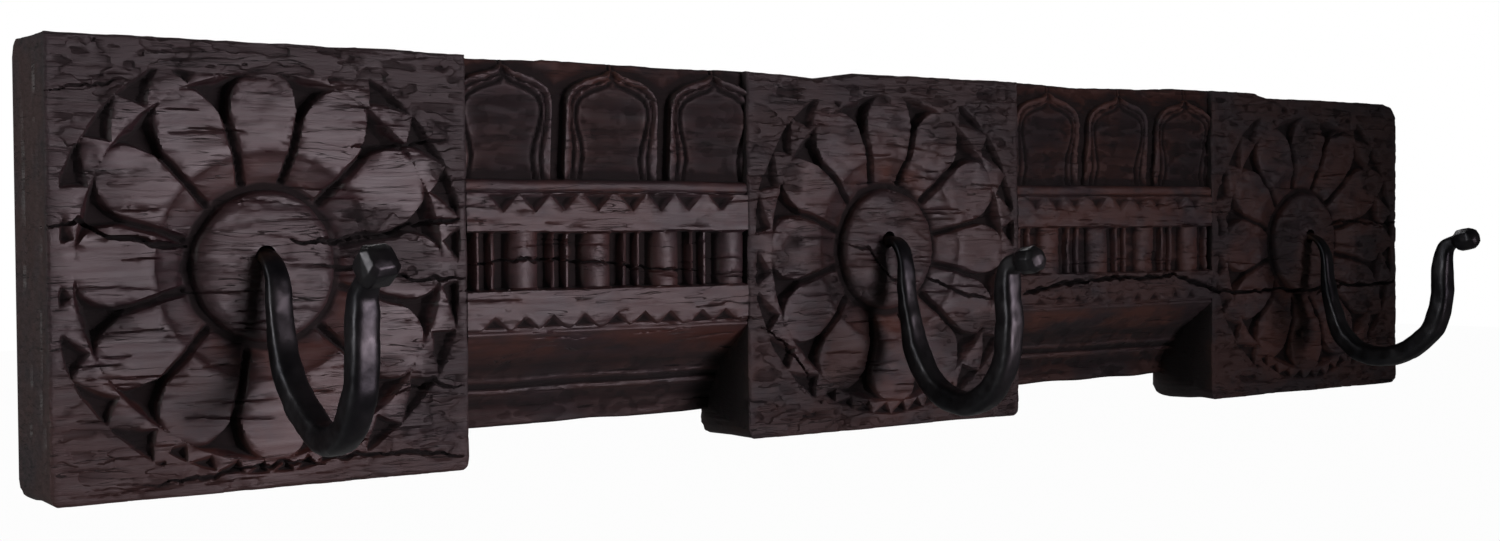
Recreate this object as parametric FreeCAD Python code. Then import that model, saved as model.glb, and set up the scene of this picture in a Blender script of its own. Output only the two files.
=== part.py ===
import FreeCAD, Part
import math
import os

V = FreeCAD.Vector

# Wall coat rack: one carved timber, three forged hooks, two keyhole hangers.
# Millimetres. +X runs along the rack, the carved front faces -Y, +Z is up, and the
# origin is the centre of the flat back face that goes against the wall.

# Timber
LENGTH = 930.0
HEIGHT = 195.0
THICK = 44.0
U = HEIGHT / 195.0                      # the carving grows with the timber's height
EDGES = [LENGTH * s - LENGTH / 2 for s in (0.0, 0.2075, 0.385, 0.598, 0.786, 1.0)]
PANELS = [(EDGES[0], EDGES[1]), (EDGES[2], EDGES[3]), (EDGES[4], EDGES[5])]
RECESSES = [(EDGES[1], EDGES[2]), (EDGES[3], EDGES[4])]
FRONT = -THICK                          # the plane the carving is cut into
LEDGE_Z = -82.0 * U                     # underside of the recessed parts
SIDE_LEAN = 8.0                         # how far out of square the right panel's side is

# Carving
ROSETTES = [(-370.0 * LENGTH / 930, 0.0), (-7.5 * LENGTH / 930, 3.0 * U),
            (364.5 * LENGTH / 930, 2.0 * U)]
BUTTON_R = 33.0 * U
PETAL_R = 82.0 * U
PETALS = 12
RING_R = (85.5 * U, 96.0 * U)
ARCH_PITCH = 62.0
ARCHES = [[-251.0, -189.0, -127.0], [118.0, 180.0, 242.0]]
COLUMN_R = 9.0
COLUMNS = [[-240.0, -198.5, -157.5, -116.0], [119.0, 161.0, 203.5, 246.0]]
BALUSTER_DEPTH = 7.5

# Hooks and how they are held
ROD = 12.8
SHANK_R = 3.9
HOLE_R = SHANK_R + 0.7                  # the shank drops through with a little play
COUNTERBORE_R = 15.0
COUNTERBORE_DEPTH = 15.0
WASHER = (12.0, SHANK_R + 0.3, 2.0)     # outer radius, inner radius, thickness
NUT = (13.0, 6.5)                       # across flats, height
HOOKS = {"left": (-371.0 * LENGTH / 930, 4.5), "middle": (-9.0 * LENGTH / 930, 8.0),
         "right": (367.0 * LENGTH / 930, 6.5)}

# Keyhole hangers let into the back, one wall stud spacing of 32 inches apart
HANGER_X = 406.4
HANGER_Z = 58.0                         # centre of the round entry hole
PLATE = (18.0, 46.0, 2.4)               # width, height, thickness
ENTRY_R = 5.0
SLOT_R = 2.5
SLOT_RISE = 14.0
SCREW_PITCH = 36.0
SCREW = (1.7, 3.5, 18.0)                # core radius, head radius, length


def prism(points, y0, y1):
    """A flat shape drawn in the XZ plane, running from y0 to y1."""
    pts = [V(x, y0, z) for x, z in points]
    return Part.Face(Part.makePolygon(pts + pts[:1])).extrude(V(0, y1 - y0, 0))


def side_prism(points, x0, x1):
    """A flat shape drawn in the YZ plane, running from x0 to x1."""
    pts = [V(x0, y, z) for y, z in points]
    return Part.Face(Part.makePolygon(pts + pts[:1])).extrude(V(x1 - x0, 0, 0))


def hull_solid(vertices, faces):
    made = [Part.Face(Part.makePolygon([vertices[i] for i in f + f[:1]])) for f in faces]
    solid = Part.Solid(Part.Shell(made))
    if solid.Volume < 0:
        solid.reverse()
    return solid


def chip(a, b, c, depth, low=None):
    """One chip-carved notch: a three-sided pyramid let into the front plane."""
    lx, lz = low or ((a[0] + b[0] + c[0]) / 3, (a[1] + b[1] + c[1]) / 3)
    tip = V(lx, FRONT + depth, lz)
    grow = 1 + 1.5 / depth
    top = [tip + (V(x, FRONT, z) - tip) * grow for x, z in (a, b, c)]
    return hull_solid(top + [tip], [[0, 1, 2], [0, 1, 3], [1, 2, 3], [2, 0, 3]])


def groove(p, q, depth_p, depth_q, slope=0.55):
    """A straight V-shaped groove from p to q."""
    along = V(q[0] - p[0], 0, q[1] - p[1]).normalize()
    side = V(along.z, 0, -along.x)
    ends = []
    for (x, z), depth in ((p, depth_p), (q, depth_q)):
        half = (depth + 1.5) * slope
        top = V(x, FRONT - 1.5, z)
        ends += [top + side * half, top - side * half, V(x, FRONT + depth, z)]
    return hull_solid(ends, [[0, 1, 2], [3, 4, 5], [0, 1, 4, 3], [1, 2, 5, 4], [2, 0, 3, 5]])


def leaning_side():
    """The right panel's inner side was sawn out of square: it widens towards the back."""
    x, z = PANELS[2][0], 5.5 - HEIGHT / 2
    foot = Part.makePolygon([V(x, FRONT, z), V(x + 1, FRONT, z), V(x + 1, 0, z),
                             V(x - SIDE_LEAN, 0, z), V(x, FRONT, z)])
    return Part.Face(foot).extrude(V(0, 0, HEIGHT - 12))


def timber():
    """The hewn plank: top edge never quite straight, notched below the two recesses."""
    h = HEIGHT / 2
    x = EDGES
    top = [(x[0] + 6, h), (x[1], h), (x[1] + 3, h - 1.5), (x[1] + 40, h - 1),
           (x[2], h - 1), (x[2] + 44, h - 2.5), (x[2] + 74, h + 1.5), (x[3], h + 1),
           (x[3] + 45, h - 0.5), (x[3] + 140, h + 3), (x[4] + 44, h + 3),
           (x[4] + 60, h - 0.5), (x[5] - 10, h), (x[5] - 3, h - 3)]
    right = [(x[5], h - 10), (x[5], 4 - h), (x[5] - 4, -h)]
    foot = []
    for (a, b), rise in ((PANELS[2], 1.5), (PANELS[1], 3.0)):
        foot += [(a + 4, rise - h), (a, rise + 4 - h), (a, LEDGE_Z)]
        c, d = RECESSES[1] if a == PANELS[2][0] else RECESSES[0]
        foot += [(c, LEDGE_Z), (c, 6 - h), (c - 4, 2 - h)]
    foot[-1] = (foot[-1][0], -h)
    left = [(x[0] + 4, -h), (x[0], 4 - h), (x[0], h - 6)]
    plank = prism(top + right + foot + left, FRONT, 0).fuse(leaning_side())
    for s in (1, -1):                   # the long back arrises are rounded off
        arris = [(-9, h + 6), (-5, h - 0.5), (-2, h - 2.7), (0, h - 8), (1, h - 8), (1, h + 6)]
        plank = plank.cut(side_prism([(y, s * z) for y, z in arris], x[0] - 1, x[5] + 1))
    return plank


def recess_cut(x0, x1):
    """Everything taken off the front between two panels, seen in section."""
    d = [(-3, 120), (0.2, 97), (4.5, 39.5), (4.5, 38), (1.2, 36.5), (1.2, 33.5),
         (0.4, 33), (0.4, 13.5), (BALUSTER_DEPTH, 13.5), (BALUSTER_DEPTH, -13.5),
         (0.4, -13.5), (0.4, -33), (2.5, -34.5), (11, -44), (23, -52), (24, -56),
         (27, -57.5), (28, -61), (31, -62.5), (32, -66), (35.5, -70.5), (37.5, -84),
         (37.5, -120), (-3, -120)]
    return side_prism([(FRONT + y, z * U) for y, z in d], x0, x1)


def arch(cx, grow):
    """Keel-topped arch outline, about its centre line."""
    half = [(18.5, 36.0), (17.6, 46.0), (17.8, 54.0), (20.0, 64.0), (20.8, 71.0),
            (19.6, 78.0), (15.0, 83.0), (7.5, 85.5), (2.5, 88.5)]
    right = [(cx + w + grow, (z + grow * (z - 38) / 50) * U) for w, z in half]
    left = [(2 * cx - x, z) for x, z in reversed(right)]
    return right + [(cx, (92 + grow) * U)] + left


def tilt(shape):
    """Lay a cutter on the arch row, which leans back towards its foot."""
    shape.rotate(V(0, FRONT, 97 * U), V(1, 0, 0), math.degrees(math.atan(4.3 / 57.5)))
    return shape


def arch_row(x0, x1, centres):
    """Ground between the arches cut back, and each arch's field sunk inside its border."""
    foot, head = 38 * U, 106 * U
    ground = prism([(x0, foot), (x1, foot), (x1, head), (x0, head)], FRONT - 1, FRONT + 3.5)
    cutters = []
    for cx in centres:
        ground = ground.cut(prism(arch(cx, 6.0), FRONT - 2, FRONT + 4.5))
        cutters.append(tilt(prism(arch(cx, 0.0), FRONT - 1, FRONT + 2.4)))
    between = prism([(x0, foot - 5), (x1, foot - 5), (x1, head), (x0, head)],
                    FRONT - 6, FRONT + 9)
    return [tilt(ground)] + [c.common(between) for c in cutters]


def baluster_row(x0, x1, centres):
    """Half-round columns with a pair of thin rods between each two."""
    z = 13.5 * U
    posts = []
    for cx in centres:
        posts.append((cx, COLUMN_R, BALUSTER_DEPTH + 1.2))
        posts += [(cx + 16.5 + 8.5 * k, 2.2, BALUSTER_DEPTH - 1.5) for k in (0, 1)]
    row = []
    for x, r, deep in posts:
        post = Part.makeCylinder(r, 2 * z, V(x, FRONT + deep, -z))
        keep = Part.makeBox(x1 - x0, BALUSTER_DEPTH + 2, 2 * z,
                            V(x0, FRONT + 0.3, -z))
        post = post.common(keep)
        if post.Volume > 10:
            row.append(post)
    return row


def bands(x0, x1):
    """Triangular chips along the two flat bands, above and below the columns."""
    cuts = []
    for pitch, base, tip, depth in ((18.5, 32.0, 23.5, 3.6), (17.3, -33.0, -26.5, 3.0)):
        n = int((x1 - x0 - 6) / pitch)
        start = (x0 + x1 - n * pitch) / 2
        for i in range(n):
            a = start + i * pitch
            corners = [(a + 0.8, base * U), (a + pitch - 0.8, base * U), (a + pitch / 2, tip * U)]
            low = (a + pitch / 2, (base * 0.75 + tip * 0.25) * U)
            cuts.append(chip(*corners, depth, low))
    return cuts


def rosette(cx, cz, panel):
    """Domed button in a ring of twelve dished petals, with a chip-carved border."""
    k = U
    dish = [(PETAL_R, -2.0), (PETAL_R, 0.4), (72 * k, 0.9), (51 * k, 1.1), (49.5 * k, 2.1),
            (44 * k, 3.9), (37.5 * k, 6.0), (36 * k, 7.2), (34 * k, 6.8), (BUTTON_R, 3.4),
            (28 * k, 1.6), (22 * k, 1.0), (13 * k, 0.5), (5 * k, 0.3), (0, 0.25), (0, -2.0)]
    wire = Part.makePolygon([V(cx + r, FRONT + d, cz) for r, d in dish + dish[:1]])
    cuts = [Part.Face(wire).revolve(V(cx, 0, cz), V(0, 1, 0), 360)]

    def polar(r, deg):
        a = math.radians(deg)
        return cx + r * math.cos(a), cz + r * math.sin(a)

    step = 360.0 / PETALS
    for i in range(PETALS):
        mid = step * (i + 0.5)
        cuts.append(groove(polar(38 * k, mid), polar(76 * k, mid), 8.5, 4.5))
        cuts.append(chip(polar(66 * k, mid), polar(84 * k, mid - 11), polar(84 * k, mid + 11),
                         5.0, polar(78 * k, mid)))
    teeth = 24
    lo, hi = panel
    for i in range(teeth):
        mid = 360.0 * (i + 0.5) / teeth - 2.5
        x, z = polar(93 * k, mid)
        if lo + 9 < x < hi - 9 and -90 * k < z < 80 * k:
            cuts.append(chip(polar(RING_R[0], mid), polar(RING_R[1], mid - 6.3),
                             polar(RING_R[1], mid + 6.3), 4.0, polar(92 * k, mid)))
    return cuts


def keyhole(x, y0, y1, margin=0.0):
    """Round entry with a slot rising from it; the screw head passes in and drops home."""
    top = HANGER_Z + SLOT_RISE
    r = SLOT_R + margin
    shape = Part.makeCylinder(ENTRY_R + margin, y1 - y0, V(x, y0, HANGER_Z), V(0, 1, 0))
    shape = shape.fuse(Part.makeBox(2 * r, y1 - y0, SLOT_RISE, V(x - r, y0, HANGER_Z)))
    return shape.fuse(Part.makeCylinder(r, y1 - y0, V(x, y0, top), V(0, 1, 0))).removeSplitter()


def plate_block(x, y0, y1, grow=0.0):
    """Round-ended plate outline of a hanger."""
    w, h, _ = PLATE
    r = w / 2 + grow
    mid = HANGER_Z + SLOT_RISE / 2
    rise = h / 2 - w / 2
    block = Part.makeBox(2 * r, y1 - y0, 2 * rise, V(x - r, y0, mid - rise))
    for s in (-1, 1):
        block = block.fuse(Part.makeCylinder(r, y1 - y0, V(x, y0, mid + s * rise), V(0, 1, 0)))
    return block.removeSplitter()


def screw_spots(x):
    mid = HANGER_Z + SLOT_RISE / 2
    return [(x, mid + s * SCREW_PITCH / 2) for s in (-1, 1)]


def hanger(x):
    plate = plate_block(x, -PLATE[2], 0).cut(keyhole(x, -PLATE[2] - 1, 1))
    for sx, sz in screw_spots(x):
        sink = Part.makeCone(SCREW[0] + 0.1, SCREW[1] + 0.15, PLATE[2] - 0.4,
                             V(sx, -PLATE[2], sz), V(0, 1, 0))
        mouth = Part.makeCylinder(SCREW[1] + 0.15, 1.0, V(sx, -0.4, sz), V(0, 1, 0))
        plate = plate.cut(sink).cut(mouth)
    return plate


def screw(sx, sz):
    """Countersunk wood screw, head just under the face of the plate."""
    core, head, long = SCREW
    cone = Part.makeCone(core, head, PLATE[2] - 0.6, V(sx, -PLATE[2], sz), V(0, 1, 0))
    rim = Part.makeCylinder(head, 0.3, V(sx, -0.6, sz), V(0, 1, 0))
    body = Part.makeCylinder(core, long - 6, V(sx, -PLATE[2] - long + 6, sz), V(0, 1, 0))
    point = Part.makeCone(0.3, core, 6, V(sx, -PLATE[2] - long, sz), V(0, 1, 0))
    slot = Part.makeBox(2 * head, 1.2, 0.9, V(sx - head, -1.1, sz - 0.45))
    return cone.fuse([rim, body, point]).cut(slot).removeSplitter()


def carved_board():
    board = timber()
    cuts = []
    for (x0, x1), arches in zip(RECESSES, ARCHES):
        centres = [a * LENGTH / 930 for a in arches]
        board = board.cut(recess_cut(x0, x1).cut(leaning_side()))
        board = board.cut(arch_row(x0, x1, centres))
    for (x0, x1), columns in zip(RECESSES, COLUMNS):
        centres = [c * LENGTH / 930 for c in columns]
        for post in baluster_row(x0, x1, centres):
            board = board.fuse(post)
        cuts += bands(x0, x1)
    for (cx, cz), panel in zip(ROSETTES, PANELS):
        dish, *rest = rosette(cx, cz, panel)
        board = board.cut(dish)
        cuts += rest
    for hx, hz in HOOKS.values():
        cuts.append(Part.makeCylinder(HOLE_R, THICK + 2, V(hx, FRONT - 1, hz), V(0, 1, 0)))
        cuts.append(Part.makeCylinder(COUNTERBORE_R, COUNTERBORE_DEPTH + 1,
                                      V(hx, -COUNTERBORE_DEPTH, hz), V(0, 1, 0)))
    for x in (-HANGER_X, HANGER_X):
        cuts.append(plate_block(x, -PLATE[2], 1, 0.2))
        cuts.append(keyhole(x, -13, 1, 1.5))
        for sx, sz in screw_spots(x):
            cuts.append(Part.makeCylinder(SCREW[0], SCREW[2] + 1,
                                          V(sx, -PLATE[2] - SCREW[2] - 0.5, sz), V(0, 1, 0)))
    for tool in cuts:
        board = board.cut(tool)
    solids = sorted(board.Solids, key=lambda s: -s.Volume)
    return solids[0]


# Centre line of each forging as (reach from the front, height, half width, half thickness)
FORGED = {
    "left": [(-9, 4.5, 3.9, 3.9), (-2, 4.4, 4.1, 2.8), (5, 2, 4.9, 2.5), (10.5, -6, 5.3, 2.8),
             (12.8, -22, 5.8, 4.4), (16.5, -38, 6.2, 5.6), (27, -53, 6.4, 6.2),
             (44, -65, 6.4, 6.4), (62, -71.3, 6.4, 6.4), (78, -66.5, 6.4, 6.4),
             (88.5, -53, 6.5, 6.4), (92.3, -36, 6.5, 6.5), (92.4, -18, 6.3, 6.2),
             (94.5, -9.5, 5.6, 5.2), (100, -3.6, 4.8, 4.4)],
    "middle": [(-9, 8, 3.9, 3.9), (-2, 8, 4.1, 2.8), (6, 6.2, 4.9, 2.5), (11.6, -2, 5.2, 2.7),
               (13, -20, 5.4, 3.8), (16.3, -36, 5.9, 5.0), (21.5, -54, 6.3, 6.0),
               (35, -70.5, 6.4, 6.4), (58, -79, 6.4, 6.4), (77, -72, 6.4, 6.4),
               (88, -56, 6.5, 6.4), (91.2, -36, 6.5, 6.4), (90, -16, 6.2, 6.0),
               (91.8, -7, 5.4, 5.0), (98.5, -2.7, 4.6, 4.3)],
    "right": [(-9, 6.5, 3.9, 3.9), (-2, 6.5, 4.1, 2.6), (5.5, 3.8, 4.4, 2.2),
              (11, -4, 4.6, 2.4), (13.5, -26, 5.2, 3.8), (17.5, -43, 5.8, 5.0),
              (25.5, -60, 6.2, 5.8), (38, -69, 6.4, 6.2), (55, -71.4, 6.4, 6.4),
              (75, -66, 6.4, 6.4), (91, -52.5, 6.4, 6.3), (97.6, -34, 6.4, 6.3),
              (98.3, -12, 6.0, 5.8), (101, -1, 5.0, 4.6), (108, 3.6, 4.2, 3.8)],
}
KNOB = {"left": (7.9, 15.0), "middle": (7.2, 14.5), "right": (7.2, 14.5)}   # radius, length


def section(point, normal, wide, thin):
    """Round-cornered bar section standing across the centre line."""
    side = V(1, 0, 0)
    lift = normal.cross(side).normalize()
    pts = []
    for i in range(16):
        a = 2 * math.pi * i / 16
        c, s = math.cos(a), math.sin(a)
        swell = (abs(c) ** 2.6 + abs(s) ** 2.6) ** (-1 / 2.6)
        pts.append(point + side * (wide * swell * c) + lift * (thin * swell * s))
    curve = Part.BSplineCurve()
    curve.interpolate(pts, PeriodicFlag=True)
    return Part.Wire(curve.toShape())


def facet_ring(point, normal, radius):
    side = V(1, 0, 0)
    lift = normal.cross(side).normalize()
    pts = []
    for i in range(8):
        a = math.pi * (i + 0.5) / 4
        pts.append(point + side * (radius * math.cos(a)) + lift * (radius * math.sin(a)))
    return Part.makePolygon(pts + pts[:1])


def hook(name):
    """One forging: round shank through the timber, flattened neck, J bend and faceted knob."""
    hx, hz = HOOKS[name]
    rows = FORGED[name]
    swell = ROD / 12.8
    line = Part.BSplineCurve()
    line.interpolate([V(hx, FRONT - out, z) for out, z, _, _ in rows])
    params = [line.parameter(V(hx, FRONT - out, z)) for out, z, _, _ in rows]
    rings = []
    for i, (_, _, wide, thin) in enumerate(rows):
        at = [(params[i], wide, thin)]
        if i + 1 < len(rows):
            at.append(((params[i] + params[i + 1]) / 2, (wide + rows[i + 1][2]) / 2,
                       (thin + rows[i + 1][3]) / 2))
        for t, w, h in at:
            tangent = line.tangent(t)[0]
            big = swell if i > 3 else 1.0
            rings.append(section(line.value(t), tangent, w * big, h * big))
    bar = Part.makeLoft(rings, True, False)
    end, ahead = line.value(params[-1]), line.tangent(params[-1])[0]
    radius, long = KNOB[name]
    steps = [(-1.0, 3.9), (3.0, radius * 0.93), (long * 0.5, radius),
             (long * 0.82, radius * 0.9), (long, radius * 0.55)]
    knob = Part.makeLoft([facet_ring(end + ahead * s, ahead, r) for s, r in steps], True, True)
    shank = Part.makeCylinder(SHANK_R, THICK - 8 - 3.5, V(hx, FRONT + 8, hz), V(0, 1, 0))
    return bar.fuse([knob, shank]).removeSplitter()


def washer(name):
    hx, hz = HOOKS[name]
    outer, inner, thick = WASHER
    seat = V(hx, -COUNTERBORE_DEPTH, hz)
    disc = Part.makeCylinder(outer, thick, seat, V(0, 1, 0))
    return disc.cut(Part.makeCylinder(inner, thick, seat, V(0, 1, 0)))


def nut(name):
    hx, hz = HOOKS[name]
    flats, high = NUT
    y = -COUNTERBORE_DEPTH + WASHER[2]
    r = flats / math.sqrt(3)
    hexagon = [(hx + r * math.cos(math.pi * i / 3), hz + r * math.sin(math.pi * i / 3))
               for i in range(6)]
    body = prism(hexagon, y, y + high)
    ease = Part.makeCone(r + 3.2, r - 0.4, high + 2.2, V(hx, y - 1, hz), V(0, 1, 0))
    bore = Part.makeCylinder(SHANK_R, high, V(hx, y, hz), V(0, 1, 0))
    return body.common(ease).cut(bore)


def save(name, shape):
    if not shape.isValid():
        raise ValueError(name + " isn't a valid shape")
    shape.exportStep("parts/" + name + ".step")


os.makedirs("parts", exist_ok=True)
save("carved_board", carved_board())
for hook_name in HOOKS:
    save("hook_" + hook_name, hook(hook_name))
save("hook_washers", Part.makeCompound([washer(n) for n in HOOKS]))
save("hook_nuts", Part.makeCompound([nut(n) for n in HOOKS]))
for side_name, side_x in (("left", -HANGER_X), ("right", HANGER_X)):
    save("hanger_" + side_name, hanger(side_x))
save("hanger_screws", Part.makeCompound([screw(sx, sz) for x in (-HANGER_X, HANGER_X)
                                         for sx, sz in screw_spots(x)]))
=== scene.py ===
import math
import bpy
import bmesh
import numpy as np
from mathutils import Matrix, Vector


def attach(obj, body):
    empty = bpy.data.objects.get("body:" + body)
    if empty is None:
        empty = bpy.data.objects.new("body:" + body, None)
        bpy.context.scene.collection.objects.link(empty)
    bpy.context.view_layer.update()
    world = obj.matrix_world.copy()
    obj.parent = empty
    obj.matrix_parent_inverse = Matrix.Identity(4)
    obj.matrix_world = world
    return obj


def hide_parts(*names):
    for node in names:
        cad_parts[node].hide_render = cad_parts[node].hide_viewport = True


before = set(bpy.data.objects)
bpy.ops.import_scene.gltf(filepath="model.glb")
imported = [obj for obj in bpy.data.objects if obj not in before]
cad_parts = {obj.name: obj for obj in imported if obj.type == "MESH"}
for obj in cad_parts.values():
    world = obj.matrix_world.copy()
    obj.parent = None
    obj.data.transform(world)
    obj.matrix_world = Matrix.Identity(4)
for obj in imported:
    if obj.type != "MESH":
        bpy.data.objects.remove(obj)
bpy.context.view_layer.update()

# ---------------------------------------------------------------------------------------
# Carved board
# One hewn timber of dense dark hardwood, 930 mm long. Three square panels with rosettes
# stand proud of two recessed parts carved as arches over a row of little columns. It is
# cut by chisel, split along the grain by age, and waxed; everything else is fixed to it.
# ---------------------------------------------------------------------------------------

MM = 0.001                                                # the scene is in metres

# millimetres; each list runs from left to right
LENGTH, THICK = 930.0, 44.0
TOP, BOTTOM = 100.3, -97.4                                # the highest and lowest the wood may reach
EDGES = [-LENGTH / 2, -272.0, -107.0, 91.1, 266.0, LENGTH / 2]  # panel, recess, panel, recess, panel
PANELS = [(EDGES[0], EDGES[1]), (EDGES[2], EDGES[3]), (EDGES[4], EDGES[5])]
RECESSES = [(EDGES[1], EDGES[2]), (EDGES[3], EDGES[4])]
LEDGE = -82.0                                             # underside of the recessed parts
FEET = [BOTTOM, -95.5, -97.2]                             # underside of each panel

ROSETTES = [(-370.0, 0.0), (-7.5, 3.0), (364.5, 2.0)]
WEAR = [0.0, 0.15, 0.45]                                  # how far each rosette is rubbed away
PETAL_TURN, PETAL_TIP = 30.0, 84.0                        # twelve petals, and how far out they reach
ARCH_HALF = 31.0                                          # half the distance between arches
ARCHES = [(-251, -189, -127), (118, 180, 242)]
COLUMNS = [(-281.5, -240, -198.5, -157.5, -116), (77.5, 119, 161, 203.5, 246)]
CRISPNESS = [1.0, 0.62]                                   # how sharp each recess's carving still is
SPLITS, SPLIT_SEED = 420, 5                               # short drying checks all over


def scatter(i, j, seed):
    """A repeatable random value from -1 to 1 for each cell of a lattice."""
    h = (i * 374761393 + j * 668265263 + seed * 974634777) & 0xFFFFFFFF
    h = ((h ^ (h >> 13)) * 1274126177) & 0xFFFFFFFF
    return ((h ^ (h >> 16)) & 0xFFFF) / 32767.5 - 1.0


def unevenness(x, z, wide, high, seed):
    """Smooth random rise and fall between -1 and 1, with lumps wide by high millimetres."""
    u, v = x / wide, z / high
    i, j = np.floor(u).astype(np.int64), np.floor(v).astype(np.int64)
    u, v = u - i, v - j
    u, v = u * u * (3 - 2 * u), v * v * (3 - 2 * v)
    low = scatter(i, j, seed) * (1 - u) + scatter(i + 1, j, seed) * u
    high_row = scatter(i, j + 1, seed) * (1 - u) + scatter(i + 1, j + 1, seed) * u
    return low * (1 - v) + high_row * v


def ease(value, low, high):
    """Rises smoothly from 0 at low to 1 at high."""
    t = np.clip((value - low) / (high - low), 0, 1)
    return t * t * (3 - 2 * t)


def rosette_relief(x, z, cx, cz, panel, wear, seed):
    """Depth below the front plane of a button in twelve petals, with a chip-carved border."""
    x = x + 0.9 * unevenness(x, z, 23, 19, seed) + 0.35 * unevenness(x, z, 7, 6, seed + 1)
    z = z + 0.9 * unevenness(x, z, 21, 25, seed + 2) + 0.35 * unevenness(x, z, 8, 7, seed + 3)
    dx, dz = x - cx, z - cz
    r = np.hypot(dx, dz)
    turn = np.degrees(np.arctan2(dz, dx))
    turn = turn + 1.6 * np.sin(np.radians(turn * 2 + seed * 40)) + 1.0 * np.sin(np.radians(turn * 5))
    half = PETAL_TURN / 2
    off = np.abs((turn + half) % PETAL_TURN - half)
    dish = np.interp(r, [0, 13, 22, 28, 31, 32.6, 33.8, 36.2, 37.6, 44, 49.6, 50.8, 54, 60, 72, 84],
                     [0.1, 0.2, 0.5, 0.9, 1.6, 3.0, 6.6, 7.0, 5.8, 3.7, 1.9, 0.8, 0.5, 0.5, 0.5, 0.2])
    side = r * np.sin(np.radians(half - off)) - 2.5
    petal = np.minimum(side, 0.8 * (PETAL_TIP - 15 * (off / 13) ** 3.1 - r))
    stars = np.clip(np.minimum(-petal * 1.9, (PETAL_TIP + 0.6 - r) * 1.5), 0, 7.6)
    worn_edge = 0.55 * np.exp(-np.maximum(petal, 0) / 1.1) * ease(half - off, 0, 12) * (r < 80)
    flower = (worn_edge + stars) * ease(r, 36, 38.5)
    fine = np.abs(turn + 90) < 30
    pitch = np.where(fine, 7.5, 15.0)
    tooth = ((turn + 2.5) / pitch) % 1.0
    saw = np.where(tooth < 0.72, tooth / 0.72, (1 - tooth) / 0.28)
    high = np.where(fine, 6.5, 12.0)
    outer = np.where(fine, 91.0, 97.0)
    ring = np.clip(np.minimum((r - outer + high * saw) * 0.75, (outer + 0.5 - r) * 1.2) * 1.6, 0, 4.6)
    inside = np.minimum(np.minimum(x - panel[0] - 5, panel[1] - 4 - x),
                        np.minimum(84 - z, z + 91.5))
    ring = ring * ease(inside, 0, 2.0) * (r > PETAL_TIP)
    return (dish + flower) * (1 - 0.28 * wear) * (1 - 0.45 * wear * ease(r, 30, 60)) \
        + ring * (1 - 0.6 * wear)


def arch_relief(x, z, cx):
    """Depth of one keel-topped arch, and of the cut-back ground beside it."""
    out_z = [36, 76, 80, 83, 85.5, 88, 89.6, 91, 93.6, 110]
    out_w = [27.6, 27.2, 26.4, 24.6, 21.5, 16.5, 10.5, 4.6, 0.6, 0.2]
    in_z = [36, 44, 50, 57, 64, 70, 75, 79, 81.8, 83.8, 85.4, 88, 110]
    in_w = [18.8, 17.4, 16.6, 17.8, 20.2, 21.4, 21.0, 18.6, 14.0, 8.4, 3.6, 0.5, 0.1]
    across = np.abs(x - cx)

    def reach(zs, ws):
        lean = np.interp(z + 0.5, zs, ws) - np.interp(z - 0.5, zs, ws)
        return (np.interp(z, zs, ws) - across) / np.sqrt(1 + lean * lean)

    outer, inner = reach(out_z, out_w), reach(in_z, in_w)
    middle = (outer + inner) / 2 - 0.4
    relief = 4.2 * ease(-outer, -0.4, 0.9)
    relief = relief + 2.1 * np.exp(-(inner / 1.1) ** 2) + 1.7 * np.exp(-(middle / 0.9) ** 2)
    relief = relief + 0.7 * ease(inner, 0.3, 4.0) - 0.35 * np.exp(-((outer - 1.2) / 0.9) ** 2)
    return np.where(across < ARCH_HALF, relief, 4.2)


def row_of_chips(x, z, start, end, pitch, base, tip, steep, deepest):
    """A run of three-sided notches with their bases on the line z = base."""
    count = int((end - start - 6) / pitch)
    first = (start + end - count * pitch) / 2
    along = (x - first) / pitch
    n = np.floor(along)
    wob = 0.09 * scatter(n.astype(np.int64), np.int64(7), 3)
    f = np.clip(np.abs(along - n - 0.5 - wob) * 2, 0, 1)
    h = (z - base) / (tip - base)
    inside = np.minimum((1 - f - h) * pitch * 0.33, h * abs(tip - base))
    in_run = (along > 0) & (along < count)
    return np.where(in_run, np.clip(inside * steep, 0, deepest), 0)


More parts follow.
